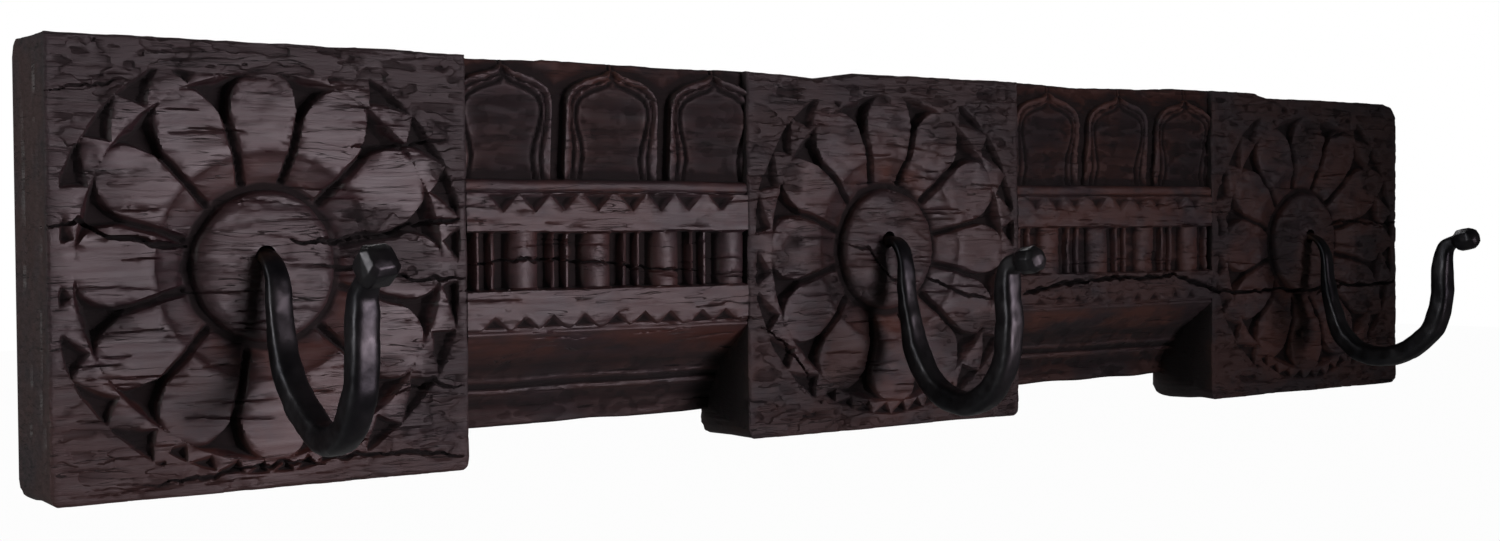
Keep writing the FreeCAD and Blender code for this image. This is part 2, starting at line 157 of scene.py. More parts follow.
def recess_relief(x, z, start, end, arches, columns, seed, crisp):
    """Depth of a recess: arches above, then a chip band, the columns, a chip band and a cove."""
    z = z + 0.5 * unevenness(x, z, 30, 12, seed)
    profile_z = [-84, -78, -71, -66.6, -65.4, -63.6, -62.4, -60.6, -59.4, -57.2, -56, -52,
                 -44, -38, -35.8, -35, -33.8, -33.2, -32, -14.2, -13.2, 13.2, 14.2, 32.2,
                 33, 34, 36.6, 38.2, 39.2, 97, 110]
    profile_d = [37.5, 36.8, 35.6, 32.8, 30.4, 30.0, 31.6, 29.0, 27.0, 26.6, 25.4, 22.2,
                 11.4, 4.6, 2.6, 1.3, 1.3, 2.0, 0.6, 0.5, 7.6, 7.6, 0.5, 0.5,
                 2.4, 1.1, 1.0, 1.9, 4.4, 0.4, 0.4]
    depth = np.interp(z, profile_z, profile_d)
    above_band = z > 38.6
    relief = np.full_like(x, 4.2)
    for cx in arches:
        relief = np.where(np.abs(x - cx) < ARCH_HALF, arch_relief(x, z, cx), relief)
    depth = depth + relief * crisp * ease(z, 38.2, 39.4) * above_band
    depth = depth + row_of_chips(x, z, start, end, 18.4, 32.4, 23.2, 1.25, 3.4) * crisp * (z > 20)
    depth = depth + row_of_chips(x, z, start, end, 17.3, -33.0, -25.8, 1.3, 3.2) * crisp * (z < -20)
    row = np.full_like(x, 7.6)
    for cx in columns:
        d = x - cx
        round_post = 7.6 - 7.0 * np.sqrt(np.clip(1 - (d / 9.2) ** 2, 0, 1))
        strip = 6.9 + 1.6 * ease(d, 9.0, 9.8) * ease(-d, -14.6, -13.8)
        row = np.where(np.abs(d) < 9.2, round_post, np.where((d > 9) & (d < 15), strip, row))
        for rod in (16.6, 24.6):
            bead = 7.4 - 3.8 * np.sqrt(np.clip(1 - ((d - rod) / 1.9) ** 2, 0, 1))
            row = np.where(np.abs(d - rod) < 1.9, np.minimum(row, bead), row)
    between = ease(z, -14.1, -13.3) * ease(-z, -14.1, -13.3)
    return depth + (0.5 + (row - 0.5) * crisp - 7.6) * between


CRACKS = [   # along the grain: points, half width, depth
    ([(-465, 17), (-452, 20), (-443, 15), (-420, 10.5), (-404, 9)], 1.5, 6),
    ([(-360, 11), (-338, 10), (-314, 14), (-298, 17.5), (-276, 20)], 1.3, 5.5),
    ([(-350, 0), (-325, -2), (-300, -7), (-273, -8)], 0.9, 4),
    ([(-348, -86), (-324, -85.5), (-300, -87), (-275, -91)], 1.0, 4),
    ([(-420, -91.5), (-395, -89.5), (-362, -86.5), (-345, -88)], 0.9, 3.5),
    ([(-330, 53), (-305, 54), (-282, 57)], 1.0, 4),
    ([(-310, -59), (-290, -56), (-274, -58)], 0.9, 3.5),
    ([(-465, 73), (-448, 76), (-430, 79)], 0.8, 3),
    ([(-272, -1.5), (-242, 0.5), (-205, -0.5), (-172, -4), (-135, -6.5)], 0.8, 4),
    ([(-100, -36), (-84, -45), (-72, -58), (-62, -69)], 0.9, 3.5),
    ([(-40, 6), (-24, 3), (-8, -14), (10, -19)], 0.8, 2.5),
    ([(20, -12), (45, -24), (70, -27)], 0.9, 3),
    ([(95, -25), (128, -20), (172, -17.5), (215, -18), (228, -16), (247, -21), (268, -27),
      (292, -29.5), (335, -28), (365, -30), (400, -27.5), (440, -27), (465, -26)], 1.25, 7),
    ([(380, -33), (400, -25), (424, -28)], 0.9, 4),
    ([(385, 14), (412, 17), (440, 14), (465, 16)], 0.9, 3.5),
    ([(372, 75), (390, 73), (410, 77)], 1.2, 3),
]


def cracks_relief(x, z):
    """Depth of the long cracks, each a wandering line that tapers at its ends."""
    depth = np.zeros_like(x)
    for k, (pts, half, deep) in enumerate(CRACKS):
        xs, zs = [p[0] for p in pts], [p[1] for p in pts]
        cols = np.where((x[:, 0] >= xs[0]) & (x[:, 0] <= xs[-1]))[0]
        if len(cols) < 3:
            continue
        a, b = cols[0], cols[-1] + 1
        px, pz = x[a:b], z[a:b]
        line = np.interp(px, xs, zs) + 0.9 * unevenness(px, px * 0, 5, 9, 50 + k) \
            + 0.4 * unevenness(px, px * 0, 1.9, 9, 90 + k)
        open_up = np.sqrt(np.clip(np.minimum(px - xs[0] + 2, xs[-1] + 2 - px) / 14, 0, 1))
        width = half * open_up * (1 + 0.5 * unevenness(px, px * 0, 9, 9, 70 + k))
        gap = np.clip(1 - np.abs(pz - line) / np.maximum(width, 0.15), 0, 1)
        depth[a:b] = np.maximum(depth[a:b], deep * open_up * gap ** 0.7)
    return depth


def small_splits(x, z, count, seed):
    """Short drying checks that run with the grain."""
    rng = np.random.default_rng(seed)
    depth = np.zeros_like(x)
    for _ in range(count):
        x0, z0 = rng.uniform(-462, 455), rng.uniform(-95, 96)
        long, half, deep = rng.uniform(9, 50), rng.uniform(0.3, 0.55), rng.uniform(0.5, 1.7)
        drift = rng.uniform(-0.09, 0.09)
        cols = np.where((x[:, 0] >= x0) & (x[:, 0] <= x0 + long))[0]
        if len(cols) < 4:
            continue
        a, b = cols[0], cols[-1] + 1
        px = x[a:b]
        line = z0 + drift * (px - x0) + 0.6 * unevenness(px, px * 0 + z0, 6, 1, seed + 5)
        taper = np.sqrt(np.clip(1 - np.abs((px - x0) / long * 2 - 1), 0, 1))
        gap = np.clip(1 - np.abs(z[a:b] - line) / (half * taper + 0.12), 0, 1)
        depth[a:b] = np.maximum(depth[a:b], deep * taper * gap)
    return depth


def top_edge(x):
    """Height of the uneven, hewn top edge."""
    pts = [(-465, 97.3), (-272, 97.2), (-269, 95.8), (-232, 96.2), (-228, 97.0), (-170, 96.3),
           (-162, 96.0), (-106, 96.6), (-66, 95.0), (-60, 94.8), (-34, 98.6), (90, 98.6),
           (133, 97.6), (138, 97.2), (190, 98.6), (196, 98.4), (232, 100.4), (308, 100.4),
           (322, 97.4), (350, 97.8), (454, 97.9), (460, 95.5), (465, 88.0)]
    z = np.interp(x, [p[0] for p in pts], [p[1] for p in pts])
    return z + 0.25 * unevenness(x, x * 0, 17, 9, 11) + 0.12 * unevenness(x, x * 0, 4, 9, 12)


def panel_foot(x, panel, depth):
    """Height of a panel's underside, rounded at its two corners."""
    near = np.minimum(x - panel[0], panel[1] - x)
    turn = np.clip(4.6 - near, 0, 4.6)
    return depth + 4.6 - np.sqrt(4.6 ** 2 - turn ** 2) + 0.25 * unevenness(x, x * 0, 21, 9, 13)


STEP_X, ROWS, WALL_COLS, DEEP_ROWS = 0.85, 350, 26, 24       # how fine the grid is


def sculpt_strip(x, kind, k):
    """Front surface over one panel or recess: heights and depths on a grid."""
    t = np.linspace(0, 1, ROWS)[None, :]
    x = x[:, None]
    foot = panel_foot(x, PANELS[k], FEET[k]) if kind == "panel" else \
        LEDGE + 0.5 * unevenness(x, x * 0, 26, 9, 14)
    z = foot + (top_edge(x) - foot) * t
    x = x + 0 * z
    if kind == "panel":
        cx, cz = ROSETTES[k]
        depth = rosette_relief(x, z, cx, cz, PANELS[k], WEAR[k], 21 + 7 * k)
        near = np.minimum(x - PANELS[k][0], PANELS[k][1] - x)
    else:
        depth = recess_relief(x, z, *RECESSES[k], ARCHES[k], COLUMNS[k], 61 + 5 * k, CRISPNESS[k])
        near = np.full_like(x, 9.0)
    raw = rawness(x, z, kind, k)
    rough = 0.3 * unevenness(x, z, 34, 15, 31) + (0.5 + 0.5 * raw) * (
        0.2 * unevenness(x, z, 13, 5, 32) + 0.12 * unevenness(x, z, 22, 1.7, 33)
        + 0.10 * unevenness(x, z, 3.5, 2.6, 34))
    old = ease(x, 60, 420)
    torn = unevenness(x, z, 16, 4.5, 45) + 0.5 * unevenness(x, z, 5, 2.2, 46)
    flake = unevenness(x, z, 11, 7, 47) + 0.4 * unevenness(x, z, 3.5, 2.5, 48)
    rough = rough + raw * (1.0 * ease(torn, 0.15, 0.3) + 0.8 * ease(flake, 0.3, 0.42))
    gouge = np.clip(unevenness(x, z, 26, 11, 35) + 0.5 * unevenness(x, z, 9, 5, 36) - 0.55, 0, 1)
    rough = rough + gouge * (0.8 + 1.5 * old) \
        + old * (0.25 * unevenness(x, z, 11, 6, 37) + 0.15 * unevenness(x, z, 5, 4, 38) + 0.2)
    depth = depth + 0.35 + rough * (0.3 + 0.7 * ease(near, 0, 7))
    near = np.minimum(near + 0.5 * unevenness(z, x, 9, 40, 39),
                      np.minimum(top_edge(x) - z, z - foot) + 0.4 * unevenness(x, z, 12, 30, 40))
    nick = np.clip(unevenness(x, z, 9, 7, 41) - 0.35, 0, 1)
    depth = depth + 0.9 * np.clip(1 - near / (1.6 + 4 * nick), 0, 1) ** 2
    calm = np.where(z > 38, 0.3, 1.0) if kind == "recess" else 1.0     # fewer splits in the arches
    depth = depth + cracks_relief(x, z) + small_splits(x, z, SPLITS, SPLIT_SEED) * calm
    return x, np.clip(depth, 0.0, 41.5), z


def rawness(x, z, kind, k):
    """Where the timber is rough: borders, the top strip, and more towards the right end."""
    if kind == "recess":
        torn_band = ease(-z, 12, 16) * ease(z, -37, -34) * k
        return 0.12 + 0.3 * ease(-z, 40, 60) + 0.2 * ease(z, 38, 40) + 0.2 * k + 0.5 * torn_band
    cx, cz = ROSETTES[k]
    r = np.hypot(x - cx, z - cz)
    rim = ease(r, 84, 100) * 0.75 + ease(z, 80, 87) * 0.8 + 0.3 * ease(z, 48, 75)
    patch = unevenness(x, z, 40, 22, 75 + k) + 0.35 * unevenness(x, z, 15, 9, 78 + k)
    bias = (-0.5, -0.45, -0.3)[k] + 0.4 * ease(x - cx, 20, 90)
    button = 0.3 * ease(-r, -33, -30)
    return np.clip(rim + button + 0.2 * k + ease(patch + bias, 0.0, 0.5) * ease(r, 20, 40), 0, 1)


def hollows(depth):
    """The general level of the wood around each spot: what lies deeper is painted darker as shade, with a
    little dirt.
    """
    for axis, reach in ((0, 7), (1, 10)):
        padded = np.pad(depth, [(reach, reach) if a == axis else (0, 0) for a in (0, 1)], "edge")
        total = np.cumsum(padded, axis=axis)
        total = np.insert(total, 0, 0, axis=axis)
        width = 2 * reach + 1
        n = depth.shape[axis]
        depth = (np.take(total, range(width, width + n), axis)
                 - np.take(total, range(n), axis)) / width
    return depth


def redness(x, z, kind, k):
    """Where handling has worn through the dark skin to red-brown wood."""
    if kind == "recess":
        red = 0.35 + 0.5 * ease(z, 84, 90) + 0.3 * ease(-z, 33, 36) * ease(z, -58, -50) \
            + 0.5 * ease(z, 33.2, 34.2) * ease(-z, -38.5, -37)
        return red + (0.45 if k == 1 else 0.0)
    cx, cz = ROSETTES[k]
    r = np.hypot(x - cx, z - cz)
    above = (z - cz) / np.maximum(r, 1)
    band = np.exp(-((r - 42) / 6) ** 2) * (0.4 * np.abs(above) ** 2
                                           + 0.6 * unevenness(x, z, 30, 30, 71))
    low = 0.35 * ease(-z, 20, 70)
    return band + low + (0.12, 0.35, 0.75)[k]


def board_grid():
    """Front grid, panel and recess strips joined by the side walls of the panels."""
    spans = [("panel", 0), ("recess", 0), ("panel", 1), ("recess", 1), ("panel", 2)]
    strips, looks, joins, count = [], [], [], 0
    for i, (kind, k) in enumerate(spans):
        a, b = EDGES[i], EDGES[i + 1]
        xs = np.linspace(a, b, int((b - a) / STEP_X) + 1)
        strip = np.stack(sculpt_strip(xs, kind, k), axis=-1)
        if strips:
            s = np.linspace(0, 1, WALL_COLS + 2)[1:-1, None, None]
            wall = strips[-1][-1][None] * (1 - s) + strip[0][None] * s
            y, z = wall[:, :, 1], wall[:, :, 2]
            wall[:, :, 0] += 0.35 * np.sin(np.pi * s[:, :, 0]) * unevenness(y, z, 6, 14, 80 + i)
            joins.append((count - 1, count + WALL_COLS))
            strips.append(wall)
            looks.append(np.stack([0.9 + 0 * y, 0.1 + 0 * y, 0.6 + 0 * y], axis=-1))     # side walls: painted shade, near black
            count += WALL_COLS
        strips.append(strip)
        x, z = strip[:, :, 0], strip[:, :, 2]
        # depth below the surroundings: painted shade where it is deeper, painted highlight where it stands
        # proud
        relief = strip[:, :, 1] - hollows(strip[:, :, 1])
        if kind == "recess":
            # extra painted shade in the recessed arch row and in the down-facing cove
            relief = relief + 1.0 * ease(z, 38, 40) + 0.8 * ease(-z, 36, 46)
        looks.append(np.stack([relief, redness(x, z, kind, k), rawness(x, z, kind, k)], axis=-1))
        count += len(xs)
    grid = np.concatenate(strips, axis=0)
    grid[:, :, 1] -= THICK
    return grid, np.concatenate(looks, axis=0), joins


front, looks, joins = board_grid()
nx, nz = front.shape[:2]
kappa = np.linspace(0, 1, DEEP_ROWS + 1)[1:, None, None]

back_x = front[:, -1, 0].copy()
for a, b in joins:
    back_x[a - 9:b + 10] = np.linspace(back_x[a - 9], back_x[b + 9], b - a + 19)
top_back = np.stack([back_x, 0 * back_x, top_edge(back_x)], axis=-1)
top_side = front[None, :, -1] * (1 - kappa) + top_back[None] * kappa
hewn = 0.5 * unevenness(top_side[..., 0], top_side[..., 1], 45, 11, 42) \
    + 0.25 * unevenness(top_side[..., 0], top_side[..., 1], 30, 1.6, 43)
top_side[..., 2] -= np.sin(np.pi * kappa[..., 0]) ** 0.5 * (0.5 + hewn)

foot_back = np.stack([front[:, 0, 0], 0 * back_x, front[:, 0, 2]], axis=-1)
foot_side = front[None, :, 0] * (1 - kappa) + foot_back[None] * kappa
hewn = 0.5 * unevenness(foot_side[..., 0], foot_side[..., 1], 45, 11, 44)
foot_side[..., 2] += np.sin(np.pi * kappa[..., 0]) ** 0.5 * (0.5 + hewn)


def end_face(i, sign, seed):
    """Sawn end grain: fine ridges and drying splits that follow the rings up the end."""
    a = front[i, 1:-1][None]
    b = a.copy()
    b[..., 1] = 0
    face = a * (1 - kappa) + b * kappa
    y, z = face[..., 1], face[..., 2]
    ring = y + 4 * np.sin(z / 61 + seed) + 1.5 * unevenness(z, y, 40, 30, seed)
    worn = 0.35 + 0.3 * unevenness(ring, z, 1.9, 26, seed + 1) + 0.3 * unevenness(y, z, 9, 17, seed + 2)
    for centre, half, low, high in ((-31, 0.8, -70, 30), (-17.5, 0.6, -96, -20), (-9, 0.9, -15, 88),
                                    (-24, 0.6, 35, 95), (-37, 0.7, -95, -50)):
        gap = np.clip(1 - np.abs(ring - centre + 0.5 * unevenness(z, y, 5, 60, seed + 3)) / half, 0, 1)
        worn = worn + 2.6 * gap * ease(z, low, low + 15) * ease(-z, -high, -high + 15)
    edge = np.sin(np.pi * kappa[..., 0]) ** 0.3 * np.sin(np.pi * np.linspace(0, 1, nz)[1:-1]) ** 0.2
    face[..., 0] -= sign * np.clip(worn, 0, 4) * edge * (1.0 if sign < 0 else 0.5)
    return face


left_end, right_end = end_face(0, -1, 45), end_face(nx - 1, 1, 55)

corners = [front.reshape(-1, 3), top_side.reshape(-1, 3), foot_side.reshape(-1, 3),
           left_end.reshape(-1, 3), right_end.reshape(-1, 3)]
starts = np.cumsum([0] + [len(c) for c in corners])
verts = np.concatenate(corners)
f_id = np.arange(nx * nz).reshape(nx, nz)
t_id = np.vstack([f_id[:, -1][None], starts[1] + np.arange(DEEP_ROWS * nx).reshape(DEEP_ROWS, nx)])
b_id = np.vstack([f_id[:, 0][None], starts[2] + np.arange(DEEP_ROWS * nx).reshape(DEEP_ROWS, nx)])


def end_ids(first, i):
    """Point numbers over one end of the board, with the rims of the sides it meets."""
    inner = first + np.arange(DEEP_ROWS * (nz - 2)).reshape(DEEP_ROWS, nz - 2)
    inner = np.vstack([f_id[i, 1:-1][None], inner])
    return np.hstack([b_id[:, i][:, None], inner, t_id[:, i][:, None]])


l_id, r_id = end_ids(starts[3], 0), end_ids(starts[4], nx - 1)


def quads(ids, flip):
    """Four-sided faces between neighbouring points of a grid."""
    q = np.stack([ids[:-1, :-1], ids[1:, :-1], ids[1:, 1:], ids[:-1, 1:]], axis=-1).reshape(-1, 4)
    return q[:, ::-1] if flip else q


faces = np.concatenate([quads(f_id, False), quads(t_id, True), quads(b_id, False),
                        quads(l_id, True), quads(r_id, False)])
rim = np.concatenate([b_id[-1, :], r_id[-1, 1:-1], t_id[-1, ::-1], l_id[-1, -2:0:-1]])

side = np.interp(verts[:, 0], [232, 262, 266, 300], [0, 1, 1, 0])
verts[:, 0] -= 8.0 * side * (1 + verts[:, 1] / THICK)     # right panel's inner side, out of square
ease_back = 8.0                         # the long back arrises are rounded off
low_back = np.clip((verts[:, 1] + ease_back) / ease_back, 0, 1)
drop = ease_back * (1 - np.sqrt(1 - np.minimum(low_back, 0.999) ** 2))
ceiling = top_edge(verts[:, 0]) - drop
verts[:, 2] = np.minimum(verts[:, 2], np.where(drop > 0, ceiling, 999))
verts[:, 2] = np.maximum(verts[:, 2], np.where(drop > 0, BOTTOM + 0.4 + drop, BOTTOM))
verts[:, 0] = np.clip(verts[:, 0], 0.1 - LENGTH / 2, LENGTH / 2 - 0.1)
verts[:, 1] = np.clip(verts[:, 1], -THICK, 0)
verts[:, 2] = np.clip(verts[:, 2], BOTTOM, TOP)


def mesh_object(name, points, polygons):
    """A mesh from millimetre points; polygons is a list of index arrays."""
    mesh = bpy.data.meshes.new(name)
    mesh.vertices.add(len(points))
    mesh.vertices.foreach_set("co", (np.asarray(points) * MM).astype(np.float32).ravel())
    sizes = np.concatenate([np.full(len(p), p.shape[1]) for p in polygons])
    loops = np.concatenate([p.ravel() for p in polygons])
    mesh.loops.add(len(loops))
    mesh.loops.foreach_set("vertex_index", loops.astype(np.int32))
    mesh.polygons.add(len(sizes))
    starts = np.concatenate([[0], np.cumsum(sizes)[:-1]])
    mesh.polygons.foreach_set("loop_start", starts.astype(np.int32))
    mesh.update(calc_edges=True)
    obj = bpy.data.objects.new(name, mesh)
    bpy.context.scene.collection.objects.link(obj)
    return obj


def settle(obj):
    """Turn the modifiers' result into the object's own plain mesh."""
    done = bpy.data.meshes.new_from_object(obj.evaluated_get(bpy.context.evaluated_depsgraph_get()))
    obj.modifiers.clear()
    obj.data = done


board = mesh_object("carved_timber", verts, [faces, rim[None, :]])

rest = np.zeros(len(verts) - nx * nz)
# hollow carries the painted shade and painted highlight; the sides and ends get none
for word, values, plain in (("hollow", looks[..., 0], 0.0), ("worn_red", looks[..., 1], 0.3),
                            ("raw", looks[..., 2], 0.7)):
    layer = board.data.attributes.new(word, "FLOAT", "POINT")
    layer.data.foreach_set("value", np.concatenate([values.ravel(), rest + plain]).astype(np.float32))
thin = board.modifiers.new("fewer faces where it is flat", "DECIMATE")
thin.ratio = 0.19
settle(board)


def face_outwards(obj):
    """Makes every face of a closed mesh look outwards."""
    bm = bmesh.new()
    bm.from_mesh(obj.data)
    bmesh.ops.recalc_face_normals(bm, faces=bm.faces)
    bm.to_mesh(obj.data)
    bm.free()


face_outwards(board)


def turned(profile, x, z, sides=48):
    """Closed turned plug from (radius, y) pairs, on an axis through (x, z) into the wall."""
    pts, rings = [], len(profile)
    for r, y in profile:
        for i in range(sides):
            a = 2 * math.pi * i / sides
            pts.append((x + r * math.cos(a), y, z + r * math.sin(a)))
    sides_f = [(j * sides + i, j * sides + (i + 1) % sides, (j + 1) * sides + (i + 1) % sides,
                (j + 1) * sides + i) for j in range(rings - 1) for i in range(sides)]
    caps = [tuple(range(sides))[::-1], tuple((rings - 1) * sides + i for i in range(sides))]
    return pts, sides_f + caps


def pushed(outline, y0, y1):
    """Closed plug with a flat outline in X and Z."""
    n = len(outline)
    pts = [(x, y, z) for y in (y0, y1) for x, z in outline]
    sides_f = [(i, (i + 1) % n, n + (i + 1) % n, n + i) for i in range(n)]
    return pts, sides_f + [tuple(range(n))[::-1], tuple(range(n, 2 * n))]


def cutters(name, plugs):
    """One object made of closed plugs, to be cut out of the board."""
    mesh = bpy.data.meshes.new(name)
    pts, polys = [], []
    for p, f in plugs:
        polys += [tuple(i + len(pts) for i in face) for face in f]
        pts += p
    mesh.from_pydata([(a * MM, b * MM, c * MM) for a, b, c in pts], [], polys)
    obj = bpy.data.objects.new(name, mesh)
    bpy.context.scene.collection.objects.link(obj)
    face_outwards(obj)
    return obj


def rounded_slot(x, low, high, r_low, r_high, sides=20):
    """Outline with a round bottom of one radius and a round top of another."""
    pts = []
    if r_low > r_high:                     # keyhole: wide entry, narrow slot
        a0 = math.asin(r_high / r_low)
        for i in range(2 * sides + 1):
            a = math.pi / 2 - a0 - (2 * math.pi - 2 * a0) * i / (2 * sides)
            pts.append((x + r_low * math.cos(a), low + r_low * math.sin(a)))
    else:
        pts += [(x + r_low * math.cos(-math.pi * i / sides), low + r_low * math.sin(-math.pi * i / sides))
                for i in range(sides + 1)]
    pts += [(x + r_high * math.cos(math.pi - math.pi * i / sides),
             high + r_high * math.sin(math.pi - math.pi * i / sides)) for i in range(sides + 1)]
    return pts


HOOK_SPOTS = [(-371.0, 4.5), (-9.0, 8.0), (367.0, 6.5)]
HANGER_SPOTS = [-406.4, 406.4]
HOLE_R, COUNTERBORE_R, COUNTERBORE_DEEP = 4.6, 15, 15     # for the threaded tail, washer and nut
PLATE_R, PLATE_DEEP, PLATE_ENDS = 9.2, 2.4, (51, 79)      # the plate's shallow bed
PILOT_R, PILOT_DEEP, PILOT_Z = 1.7, 21, (47.0, 83.0)      # for the plate's screws
CLEAR = 5                                                 # the cutters stand out of the back
tail_hole = [(HOLE_R, -60), (HOLE_R, -COUNTERBORE_DEEP), (COUNTERBORE_R, -COUNTERBORE_DEEP),
             (COUNTERBORE_R, CLEAR)]
holes = cutters("bored holes", [turned(tail_hole, x, z) for x, z in HOOK_SPOTS]
                + [pushed(rounded_slot(x, *PLATE_ENDS, PLATE_R, PLATE_R), -PLATE_DEEP, CLEAR)
                   for x in HANGER_SPOTS])
keys = cutters("keyhole pockets", [pushed(rounded_slot(x, 58, 72, 6.5, 4.0), -13, CLEAR)
                                   for x in HANGER_SPOTS])
pilots = cutters("pilot holes", [turned([(PILOT_R, -PILOT_DEEP), (PILOT_R, CLEAR)], x, z, 16)
                                 for x in HANGER_SPOTS for z in PILOT_Z])
for tool in (holes, keys, pilots):     # one after another, because plate beds and pockets overlap
    cut = board.modifiers.new(tool.name, "BOOLEAN")
    cut.operation, cut.solver, cut.object = "DIFFERENCE", "MANIFOLD", tool
settle(board)
for tool in (holes, keys, pilots):
    bpy.data.objects.remove(tool)
board.data.set_sharp_from_angle(angle=math.radians(38))
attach(board, "root")
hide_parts("carved_board")


def node(tree, kind, inputs=None, **settings):
    """A node with its inputs typed in or linked, and its settings made."""
    n = tree.nodes.new(kind)
    for key, value in settings.items():
        setattr(n, key, value)
    for key, value in (inputs or {}).items():
        if isinstance(value, bpy.types.NodeSocket):
            tree.links.new(value, n.inputs[key])
        else:
            n.inputs[key].default_value = value
    return n


def sums(tree, operation, a, b=None, clamp=False):
    """One arithmetic node; numbers are typed in, sockets are linked."""
    n = tree.nodes.new("ShaderNodeMath")
    n.operation, n.use_clamp = operation, clamp
    for i, value in enumerate((a, b)):
        if isinstance(value, bpy.types.NodeSocket):
            tree.links.new(value, n.inputs[i])
        elif value is not None:
            n.inputs[i].default_value = value
    return n.outputs[0]


def noise(tree, place, scale, detail, rough, stretch=None):
    """Noise on the piece's own coordinates; stretch squeezes the pattern along each axis."""
    if stretch:
        place = node(tree, "ShaderNodeMapping", {"Vector": place, "Scale": stretch}).outputs[0]
    return node(tree, "ShaderNodeTexNoise", {"Vector": place, "Scale": scale, "Detail": detail,
                                             "Roughness": rough}).outputs["Fac"]


def spread(tree, value, low, high, to_low=0.0, to_high=1.0):
    """Stretches the range low to high over to_low to to_high, and holds it there."""
    n = node(tree, "ShaderNodeMapRange", {"Value": value, "From Min": low, "From Max": high,
                                          "To Min": to_low, "To Max": to_high})
    return n.outputs[0]


def blend(tree, fac, a, b):
    """Colour a, turning to colour b as fac goes from 0 to 1."""
    n = node(tree, "ShaderNodeMix", data_type="RGBA")
    for i, value in ((0, fac), (6, a), (7, b)):
        if isinstance(value, bpy.types.NodeSocket):
            tree.links.new(value, n.inputs[i])
        else:
            n.inputs[i].default_value = value if i == 0 else (*value, 1.0)
    return n.outputs[2]


def wood_grain():
    """Long grain, fine open pores and drying checks, running along X."""
    tree = bpy.data.node_groups.new("wood grain", "ShaderNodeTree")
    size = tree.interface.new_socket("Scale", in_out="INPUT", socket_type="NodeSocketFloat")
    size.default_value = 1.0
    for label in ("Streak", "Patch", "Check", "Height"):
        tree.interface.new_socket(label, in_out="OUTPUT", socket_type="NodeSocketFloat")
    gin, gout = tree.nodes.new("NodeGroupInput"), tree.nodes.new("NodeGroupOutput")
    place = node(tree, "ShaderNodeTexCoord").outputs["Object"]
    v = node(tree, "ShaderNodeVectorMath", {0: place, "Scale": gin.outputs["Scale"]},
             operation="SCALE").outputs[0]
    streak = noise(tree, v, 1.0, 5.0, 0.58, (26, 190, 420))
    patch = noise(tree, v, 1.0, 4.0, 0.6, (22, 30, 36))
    fine = noise(tree, v, 1.0, 3.0, 0.55, (90, 600, 1100))
    bend = noise(tree, v, 1.0, 3.0, 0.5, (14, 40, 60))
    bent = node(tree, "ShaderNodeVectorMath", {0: v, 1: (0.0, 0.0, 0.0)}, operation="ADD")
    shift = node(tree, "ShaderNodeCombineXYZ", {"Z": sums(tree, "MULTIPLY", bend, 0.012)})
    tree.links.new(shift.outputs[0], bent.inputs[1])
    line = noise(tree, bent.outputs[0], 1.0, 3.0, 0.5, (17, 60, 330))
    check = spread(tree, sums(tree, "ABSOLUTE", sums(tree, "SUBTRACT", line, 0.5)), 0.0, 0.011, 1, 0)
    where = spread(tree, noise(tree, v, 1.0, 2.0, 0.5, (24, 40, 70)), 0.47, 0.6)
    check = sums(tree, "MULTIPLY", check, where)
    height = sums(tree, "ADD", sums(tree, "MULTIPLY", streak, 0.55), sums(tree, "MULTIPLY", fine, 0.45))
    height = sums(tree, "SUBTRACT", height, sums(tree, "MULTIPLY", check, 0.9))
    for label, value in (("Streak", streak), ("Patch", patch), ("Check", check), ("Height", height)):
        tree.links.new(value, gout.inputs[label])
    return tree


def material(name, **sockets):
    """A new material, with its node tree and its main shader."""
    mat = bpy.data.materials.new(name)
    mat.use_nodes = True
    tree = mat.node_tree
    shader = tree.nodes["Principled BSDF"]
    for label, value in sockets.items():
        shader.inputs[label.replace("_", " ")].default_value = value
    return mat, tree, shader


timber, wood, skin = material("waxed dark timber", Specular_IOR_Level=0.65)
grain = node(wood, "ShaderNodeGroup", node_tree=wood_grain())
hollow = node(wood, "ShaderNodeAttribute", attribute_name="hollow").outputs["Fac"]
worn = node(wood, "ShaderNodeAttribute", attribute_name="worn_red").outputs["Fac"]
raw = node(wood, "ShaderNodeAttribute", attribute_name="raw").outputs["Fac"]
# what lies deeper than its surroundings: painted shade with a little dirt; it also dulls the sheen
shade_and_grime = spread(wood, hollow, 0.15, 1.5)
# painted highlight: what stands proud of its surroundings is lightened
proud = spread(wood, hollow, -0.15, -1.3)
patchy, streaky = grain.outputs["Patch"], grain.outputs["Streak"]
red = sums(wood, "MULTIPLY", worn, spread(wood, patchy, 0.40, 0.56), clamp=True)
base = blend(wood, spread(wood, streaky, 0.34, 0.7), (0.012, 0.0050, 0.0060), (0.042, 0.0172, 0.022))
base = blend(wood, red, base, (0.095, 0.026, 0.013))
# painted highlight: raised wood turns a lighter purple-grey, like sheen
base = blend(wood, sums(wood, "MULTIPLY", proud, 0.3), base, (0.070, 0.045, 0.048))
base = blend(wood, sums(wood, "MULTIPLY", raw, 0.6), base, (0.016, 0.012, 0.013))
